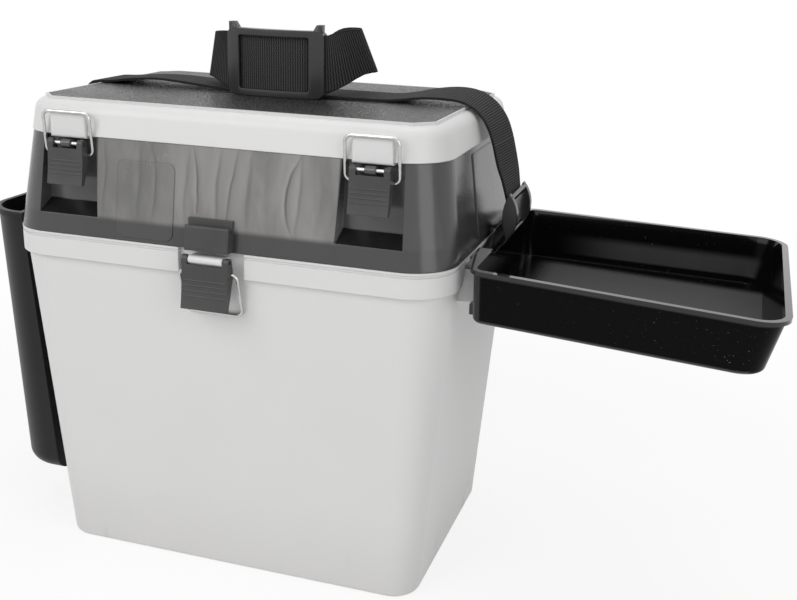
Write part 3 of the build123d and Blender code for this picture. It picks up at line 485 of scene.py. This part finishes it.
# %% Keeper
KEEPER_ROUND, ROUND_STEPS = 1.5 * MM, 3
MERGE_WITHIN = 0.01 * MM
FLAT_ANGLE, SHARP_ANGLE, SMOOTH_ANGLE = (math.radians(angle) for angle in (1, 35, 40))
bpy.ops.object.select_all(action="DESELECT")
bpy.ops.mesh.primitive_cube_add(size=1)
keeper = bpy.context.object
keeper.name = "strap_keeper_moulding"
keeper.data = nodes["strap_keeper"].data.copy()
bpy.ops.object.mode_set(mode="EDIT")
bpy.ops.mesh.select_all(action="SELECT")
bpy.ops.mesh.remove_doubles(threshold=MERGE_WITHIN)
bpy.ops.mesh.dissolve_limited(angle_limit=FLAT_ANGLE)
bpy.ops.object.mode_set(mode="OBJECT")
rounding = keeper.modifiers.new("rounding", "BEVEL")
rounding.width, rounding.segments = KEEPER_ROUND, ROUND_STEPS
rounding.limit_method, rounding.angle_limit = "ANGLE", SHARP_ANGLE
bpy.ops.object.modifier_apply(modifier="rounding")
bpy.ops.object.shade_smooth_by_angle(angle=SMOOTH_ANGLE)
fitting.wear([keeper])
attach(keeper, "lid")
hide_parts("strap_keeper")
print("keeper faces", len(keeper.data.polygons))

# %% [markdown]
# ## Webbing
# The strap is black woven webbing, 44 mm wide, whose ribs run across it about every 2 mm. Each stretch
# starts as a grid, whose columns are laid along a route: a place, and the direction of the width there. A
# Solidify modifier gives it its thickness. The UV map runs in metres along and across, so the weave
# follows the strap. A simulation would lose the flat woven form, so the webbing is laid along given routes.

# %% Webbing finish
WIDTH, THICK, SELVAGE = 44 * MM, 1.8 * MM, 1.6 * MM
RIB, YARN = 1.95 * MM, 2.2 * MM
web = Finish("black_webbing", Sheen_Weight=0.02, Specular_IOR_Level=0.03)
run = web.add("ShaderNodeUVMap", {}, {})
along, crosswise = web.axis(run, "X"), web.axis(run, "Y")
stagger = crosswise.wave(2 * YARN) * (0.18 * RIB)
ribs = (along + stagger).wave(RIB)
yarns = crosswise.wave(YARN)
inside_selvage = web.span(crosswise, 0.0, SELVAGE, WIDTH - SELVAGE, WIDTH)
weave = (ribs * 0.9 + yarns * 0.1) * (0.35 + inside_selvage * 0.65)
fuzz = web.noise(web.place(), 900)
web.colour(web.mix(weave * 0.8 + fuzz * 0.2, grey(0.006), grey(0.088, 0.01)))
web.rough(0.62 + fuzz * 0.2)
web.relief(weave, 0.4, 0.9)
print("ribs per 10 mm", round(10 * MM / RIB, 1))

# %% Laying webbing
ROWS = 8


def lay_webbing(name, places, sides):
    """A grid whose columns lie at places, in metres, along the directions in sides."""
    bpy.ops.object.select_all(action="DESELECT")
    bpy.ops.mesh.primitive_grid_add(x_subdivisions=len(places) - 1, y_subdivisions=ROWS, size=1)
    piece = bpy.context.object
    piece.name = name
    lengths = [0.0]
    for first, second in zip(places, places[1:]):
        lengths.append(lengths[-1] + (second - first).length)
    uv = piece.data.uv_layers.active.data
    for loop in piece.data.loops:
        row, column = divmod(loop.vertex_index, len(places))
        uv[loop.index].uv = (lengths[column], row / ROWS * WIDTH)
    for vertex in piece.data.vertices:
        row, column = divmod(vertex.index, len(places))
        vertex.co = places[column] + sides[column] * (row / ROWS - 0.5) * WIDTH
    closed = (places[0] - places[-1]).length < MM
    if closed:
        bpy.ops.object.mode_set(mode="EDIT")
        bpy.ops.mesh.select_all(action="SELECT")
        bpy.ops.mesh.remove_doubles(threshold=MERGE_WITHIN)
        bpy.ops.object.mode_set(mode="OBJECT")
    solid = piece.modifiers.new("thickness", "SOLIDIFY")
    solid.thickness = THICK
    solid.offset = 0
    bpy.ops.object.modifier_apply(modifier="thickness")
    bpy.ops.object.shade_smooth_by_angle(angle=SMOOTH_ANGLE)
    web.wear([piece])
    print(name, "length", round(lengths[-1] / MM, 1), "mm")
    return piece


# %% [markdown]
# ### Flat runs
# A flat run keeps its width along Y, and is given as stations in the X-Z plane: x and z in millimetres, and
# a turn in degrees. A turn tips the webbing about its own run, because a slack strap never lies quite
# square. Straight pieces would show as kinks, so between stations the run follows a smooth curve, which
# passes through every station with a slope that its two neighbours set.

# %% Flat runs
STRAP_Y = 11.0
STEPS = 6


def on_curve(share, before, first, second, after):
    """A value at a share of the way from first to second."""
    straight = second - before
    squared = 2 * before - 5 * first + 4 * second - after
    cubed = 3 * first - before - 3 * second + after
    return 0.5 * (2 * first + straight * share + squared * share ** 2 + cubed * share ** 3)


def through(stations):
    """Stations and what lies between them, in equal steps."""
    ended = [stations[0], *stations, stations[-1]]
    values = []
    for four in zip(ended, ended[1:], ended[2:], ended[3:]):
        for step in range(STEPS):
            values.append([on_curve(step / STEPS, *numbers) for numbers in zip(*four)])
    return [*values, stations[-1]]


def lay_flat(name, stations):
    """Webbing along stations, with its width along Y but for their turns."""
    route = through(stations)
    places = [Vector((x, STRAP_Y, z)) * MM for x, z, turn in route]
    turns = [math.radians(turn) for x, z, turn in route]
    sides = []
    for index, turn in enumerate(turns):
        ahead = places[min(index + 1, len(places) - 1)] - places[max(index - 1, 0)]
        sides.append(Matrix.Rotation(turn, 3, ahead.normalized()) @ Vector((0, 1, 0)))
    return lay_webbing(name, places, sides)


def round_bend(x, z, radius, angles):
    """Flat stations on an arc about x and z."""
    turns = [math.radians(angle) for angle in angles]
    return [(x + radius * math.cos(turn), z + radius * math.sin(turn), 0) for turn in turns]


# %% [markdown]
# ### Over the lid
# From the right the strap bows out past the lid's edge and over it, sinks to the mat, lies flat under
# the keeper, rises a little again, and goes round the left edge. This stretch rides the lid.

# %% Top stretch
EDGE_X, EDGE_Z, EDGE_BEND = -162.55, 368.4, 12.9
left_edge = round_bend(EDGE_X, EDGE_Z, EDGE_BEND, (100, 125, 150, 175))
top_run = [(186.7, 353.5, -7.5), (182.5, 365, -7.5), (176.5, 374.5, -7), (168, 382, -6.5), (157, 386.5, -6),
           (143, 387.6, -5.5), (125, 386.3, -3), (108, 383.2, -1), (92, 381.4, 0), (60, 381.3, 0),
           (6, 381.3, 0), (-40, 381.6, 0), (-75, 384, 1), (-105, 385.5, 2), (-130, 384.3, 1),
           (-150, 382, 0), *left_edge, (-175.6, 360, 0), (-176.2, 353.5, 0)]
top_strap = lay_flat("strap_top_webbing", top_run)
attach(top_strap, "lid")
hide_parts("strap_right_top", "strap_left_top")

# %% [markdown]
# ### The slack
# The spare length stands on edge in a bowed loop, with its front layer in the keeper. The loop is closed:
# the grid's last column lies on the first and is merged with it. Behind the keeper its back layer lies
# close to the front one. Its free ends tip forwards and inwards and rise a little, because nothing holds
# them down.

# %% Slack loop
# Places, radii and lifts are in millimetres, ends in degrees along the bow. A lean is added to straight up.
LOOP_X, LOOP_Y, LOOP_Z = 6.2, 86.0, 406.4
FRONT_BOW, BACK_BOW = 110.0, 96.0
LEFT_END, RIGHT_END, KEEPER_END = -33.7, 37.4, 20.0
RIGHT_LIFT, RIGHT_LEAN = 11.0, Vector((-0.14, -0.75, 0))
LEFT_LIFT, LEFT_LEAN = 2.5, Vector((0.42, -0.48, 0))
BACK_CLOSE, BACK_SETTLE = 7.0, 1.8
BOW_STEPS = 24


def soft_step(value, low, high):
    """0 below low, 1 above high, and smooth between."""
    share = min(max((value - low) / (high - low), 0), 1)
    return share * share * (3 - 2 * share)


def loop_station(angle, radius, beyond=0.0):
    """A place on the bow, or beyond its end, and the direction of the width there."""
    turn = math.radians(angle)
    right_share = soft_step(angle, KEEPER_END, RIGHT_END)
    left_share = soft_step(-angle, KEEPER_END, -LEFT_END)
    settled = (FRONT_BOW - radius) / (FRONT_BOW - BACK_BOW) * (1 - right_share - left_share)
    radius += settled * BACK_CLOSE
    x = LOOP_X + radius * math.sin(turn) + beyond * math.cos(turn)
    y = LOOP_Y - radius * math.cos(turn) + beyond * math.sin(turn)
    z = LOOP_Z + RIGHT_LIFT * right_share + LEFT_LIFT * left_share - BACK_SETTLE * settled
    lean = LEFT_LEAN * left_share + RIGHT_LEAN * right_share
    return Vector((x, y, z)) * MM, (Vector((0, 0, 1)) + lean).normalized()


def layer(start, end, radius):
    """Stations along one layer of the loop."""
    angles = [start + (end - start) * step / BOW_STEPS for step in range(BOW_STEPS + 1)]
    return [loop_station(angle, radius) for angle in angles]


def round_end(angle, side):
    """Stations round one end of the loop. Side is 1 from front to back, and -1 from back to front."""
    middle, cap = (FRONT_BOW + BACK_BOW) / 2, (FRONT_BOW - BACK_BOW) / 2 * side
    turns = [math.radians(degrees) for degrees in range(20, 161, 20)]
    return [loop_station(angle, middle + cap * math.cos(turn), cap * math.sin(turn)) for turn in turns]


# %% Slack webbing
stations = layer(LEFT_END, RIGHT_END, FRONT_BOW) + round_end(RIGHT_END, 1)
stations += layer(RIGHT_END, LEFT_END, BACK_BOW) + round_end(LEFT_END, -1)
stations.append(stations[0])
places, sides = zip(*stations)
slack = lay_webbing("strap_slack_webbing", places, sides)
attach(slack, "lid")
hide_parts("strap_standing_loop")

# %% [markdown]
# ### Down the sides
# Each side has two stretches, because two joints pass it: the lower one lies along the container and then
# the tier, and the upper one along the tier and then the lid. The lower ends are loops sewn round a steel
# bar.

# %% Side routes
BAR_X, BAR_Z, LOOP_BEND = 183.0, 255.0, 3.6
right_loop = round_bend(BAR_X, BAR_Z, LOOP_BEND, range(-300, 1, 30))
left_loop = [(-x, z, turn) for x, z, turn in right_loop]
right_lower = [*right_loop, (186.6, 262.2, 0), (187.6, 274, 0), (189.6, 286, 0), (194.6, 292.4, 0),
               (198.0, 296.4, 0), (198.4, 299.5, 0)]
right_upper = [(198.4, 299.5, 0), (198.2, 306, 0), (194.4, 325, -4), (190.7, 338, -7), (186.7, 353.5, -7.5)]
left_lower = [*left_loop, (-186.6, 262.2, 0), (-184.4, 281, 0), (-182.3, 299.5, 0)]
left_upper = [(-182.3, 299.5, 0), (-179.3, 326, 0), (-176.2, 353.5, 0)]
print("stations right", len(right_lower + right_upper), "left", len(left_lower + left_upper))

# %% Side stretches
# Each has its route, the bodies below and above, and the heights between which it passes to the upper one.
for name, route, lower, upper, low_z, high_z in (
        ("right_lower", right_lower, "container", "tier", 262, 298),
        ("left_lower", left_lower, "container", "tier", 262, 298),
        ("right_upper", right_upper, "tier", "lid", 320, 352),
        ("left_upper", left_upper, "tier", "lid", 301, 352)):
    piece = lay_flat(f"strap_{name}_webbing", route)
    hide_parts(f"strap_{name}")
    low_z * MM
    high_z * MM
    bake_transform(piece)

# %% [markdown]
# ## Floor and light
# The photograph has a plain white ground. The floor is pale, so it keeps a soft shadow under the box, and
# for the rays that look at the background it is mostly plain white, wholly so further out. The world is
# white for the same rays and dimmer for the light that falls on the box. Large area lamps give broad
# reflections, as a light tent would.

# %% Background rays
def background_rays(tree):
    """1 for rays that look at the background, straight, in a reflection or through something clear."""
    straight, mirrored, clear = (tree.add("ShaderNodeLightPath", {}, {}, f"Is {kind} Ray")
                                 for kind in ("Camera", "Glossy", "Transmission"))
    return straight.either(mirrored).either(clear)


# %% Floor
FLOOR_SIZE = 14
SHADE_OUT_TO, WHITE_FROM, WHITE_SHARE = 0.35, 1.0, 0.84
bpy.ops.object.select_all(action="DESELECT")
bpy.ops.mesh.primitive_plane_add(size=FLOOR_SIZE)
floor = bpy.context.object
floor.name = "studio_floor"
ground = Finish("pale_floor", Roughness=0.8)
ground.colour(grey(0.93))
outwards = ground.add("ShaderNodeVectorMath", {"operation": "LENGTH"}, {0: ground.place()}, "Value")
white = background_rays(ground) * ground.between(outwards, SHADE_OUT_TO, WHITE_FROM, WHITE_SHARE, 1.0)
glow = ground.add("ShaderNodeEmission", {}, {"Color": grey(1), "Strength": 1.0})
lit_floor = Signal(ground, ground.shader.outputs[0])
seen_floor = ground.add("ShaderNodeMixShader", {}, {0: white, 1: lit_floor, 2: glow})
ground.feed(ground.tree.nodes["Material Output"].inputs["Surface"], seen_floor)
ground.wear([floor])

# %% Lamps
def soft_lamp(name, place, target, size, power):
    """A rectangular lamp that looks at a target, in metres and watts."""
    bpy.ops.object.light_add(type="AREA", location=place)
    lamp = bpy.context.object
    lamp.name = name
    lamp.data.shape = "RECTANGLE"
    lamp.data.size, lamp.data.size_y = size
    lamp.data.energy = power
    lamp.rotation_euler = (Vector(target) - Vector(place)).to_track_quat("-Z", "Y").to_euler()
    print(name, "lamp", power, "W")


soft_lamp("key", (-1.1, -1.9, 1.7), (0, 0, 0.2), (1.6, 1.6), 28)
soft_lamp("fill", (1.9, -1.2, 1.1), (0.1, 0, 0.2), (1.4, 1.8), 14)
soft_lamp("top", (0.1, 0.3, 2.2), (0.1, 0, 0.3), (2.0, 1.6), 16)

# %% World
SKY_LIGHT = 0.35
world = bpy.data.worlds.new("studio")
bpy.context.scene.world = world
world.use_nodes = True
sky = NodeTree(world.node_tree)
backdrop = world.node_tree.nodes["Background"]
backdrop.inputs["Color"].default_value = grey(1)
sky.feed(backdrop.inputs["Strength"], background_rays(sky) * (1 - SKY_LIGHT) + SKY_LIGHT)
bpy.context.scene.view_settings.view_transform = "Standard"
print("sky light", SKY_LIGHT)
